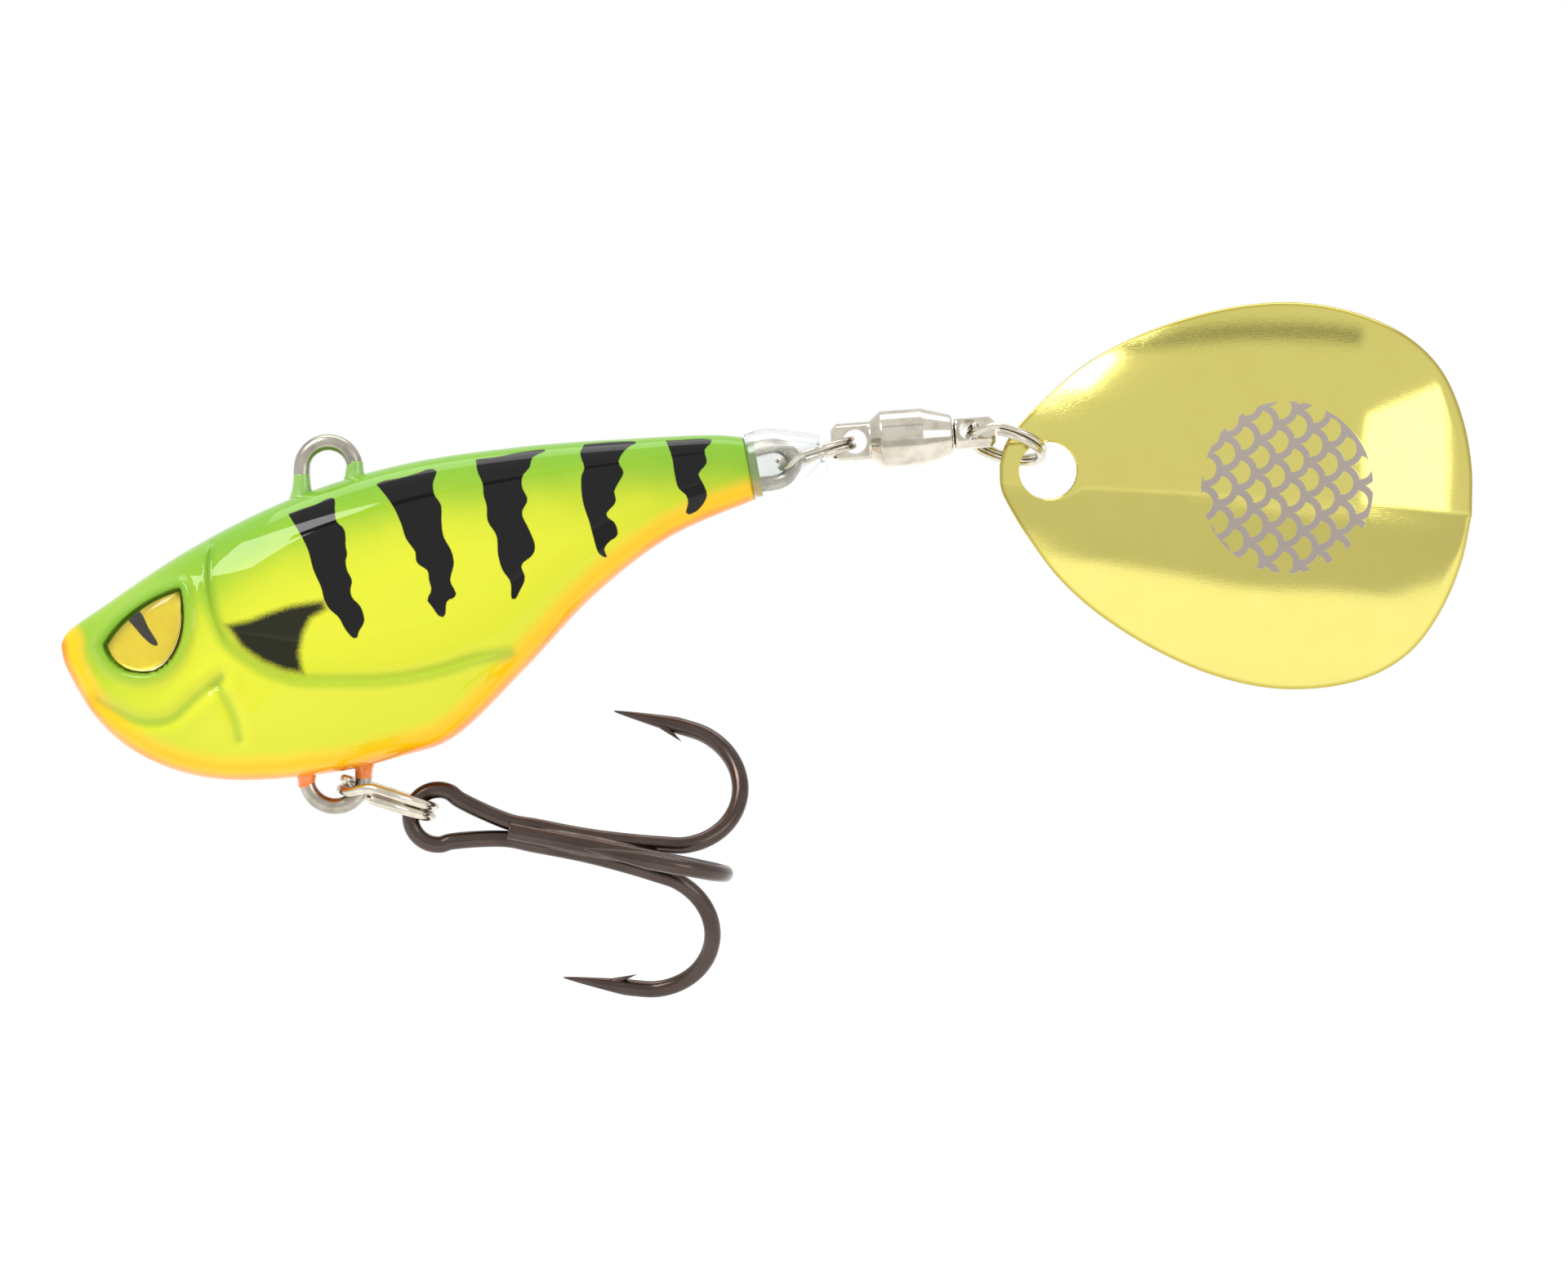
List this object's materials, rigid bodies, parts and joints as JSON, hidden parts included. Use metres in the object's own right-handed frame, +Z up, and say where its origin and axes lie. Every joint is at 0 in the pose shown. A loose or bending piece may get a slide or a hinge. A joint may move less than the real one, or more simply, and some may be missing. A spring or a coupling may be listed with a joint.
{
  "type": "tail spinner fishing lure",
  "caption": "Metal-bodied jigging lure: painted fish-shaped casting, treble hook under the belly, and a dished blade turning on a ball-bearing swivel at the tail.",
  "frame": {"origin": "centre of the line tie's loop, where the line is fastened", "axes": "+X from the nose to the tail and blade, +Z up in the attitude in which it swims, +Y across the lure, to its left side"},
  "size_m": [0.0864, 0.0153, 0.0427],
  "materials": {
    "body_paint": "gloss lacquer, green back to chartreuse flank to orange belly with black bars",
    "frame_wire": "bright drawn stainless wire",
    "ring_nickel": "polished nickel plate",
    "swivel_nickel": "polished nickel plate",
    "bearing_steel": "polished steel",
    "blade_gold": "polished gold plate",
    "hook_black_nickel": "black nickel plate",
    "eye_foil": "gold foil with a black slit pupil",
    "eye_dome": "clear gloss resin",
    "clear_sleeve": "clear soft vinyl"
  },
  "bodies": {
    "body": {"body_casting": "body_paint", "wire_frame": "frame_wire", "tail_sleeve": "clear_sleeve", "right_eye_foil": "eye_foil", "left_eye_foil": "eye_foil", "right_eye_dome": "eye_dome", "left_eye_dome": "eye_dome"},
    "tail_ring": {"tail_split_ring": "ring_nickel"},
    "swivel": {"swivel_barrel": "swivel_nickel"},
    "shaft": {"swivel_shaft": "swivel_nickel"},
    "bearing": {"bearing_ball_1": "bearing_steel", "bearing_ball_2": "bearing_steel", "bearing_ball_3": "bearing_steel", "bearing_ball_4": "bearing_steel", "bearing_ball_5": "bearing_steel", "bearing_ball_6": "bearing_steel", "bearing_ball_7": "bearing_steel"},
    "blade_ring": {"blade_split_ring": "ring_nickel"},
    "blade": {"spinner_blade": "blade_gold"},
    "belly_ring": {"belly_split_ring": "ring_nickel"},
    "treble": {"treble_double_hook": "hook_black_nickel", "treble_single_hook": "hook_black_nickel"}
  },
  "joints": [
    {"name": "tail_ring_pitch", "type": "hinge", "parent": "body", "child": "tail_ring", "pos_m": [0.02735, 0, 0.0003], "axis": [0, 1, 0], "range_deg": [-12, 12], "stiffness_Nm_per_rad": 0.02, "deforming": ["tail_sleeve"]},
    {"name": "swivel_yaw", "type": "hinge", "parent": "tail_ring", "child": "swivel", "pos_m": [0.02987, 0, 0.00092], "axis": [-0.2924, 0, 0.9563], "range_deg": [-12, 12], "stiffness_Nm_per_rad": 0.02},
    {"name": "blade_spin", "type": "hinge", "parent": "swivel", "child": "shaft", "pos_m": [0.03224, 0, 0.00166], "axis": [0.9973, 0, 0.0732], "continuous": true},
    {"name": "ball_roll", "type": "hinge", "parent": "swivel", "child": "bearing", "pos_m": [0.03224, 0, 0.00166], "axis": [0.9973, 0, 0.0732], "continuous": true},
    {"name": "blade_ring_pitch", "type": "hinge", "parent": "shaft", "child": "blade_ring", "pos_m": [0.03928, 0, 0.00218], "axis": [0.025, 0.9397, -0.3411], "range_deg": [-60, 60]},
    {"name": "blade_swing", "type": "hinge", "parent": "blade_ring", "child": "blade", "pos_m": [0.04149, 0, 0.00152], "axis": [0.2698, 0.3293, 0.9049], "range_deg": [-25, 25]},
    {"name": "belly_ring_pitch", "type": "hinge", "parent": "body", "child": "belly_ring", "pos_m": [0.00042, 0, -0.0189], "axis": [0, 1, 0], "range_deg": [-2, 95]},
    {"name": "treble_pitch", "type": "hinge", "parent": "belly_ring", "child": "treble", "pos_m": [0.00672, 0, -0.02133], "axis": [0, 1, 0], "range_deg": [-20, 40]}
  ],
  "couplings": [
    {"joint": "ball_roll", "follows": "blade_spin", "ratio": 0.5}
  ]
}
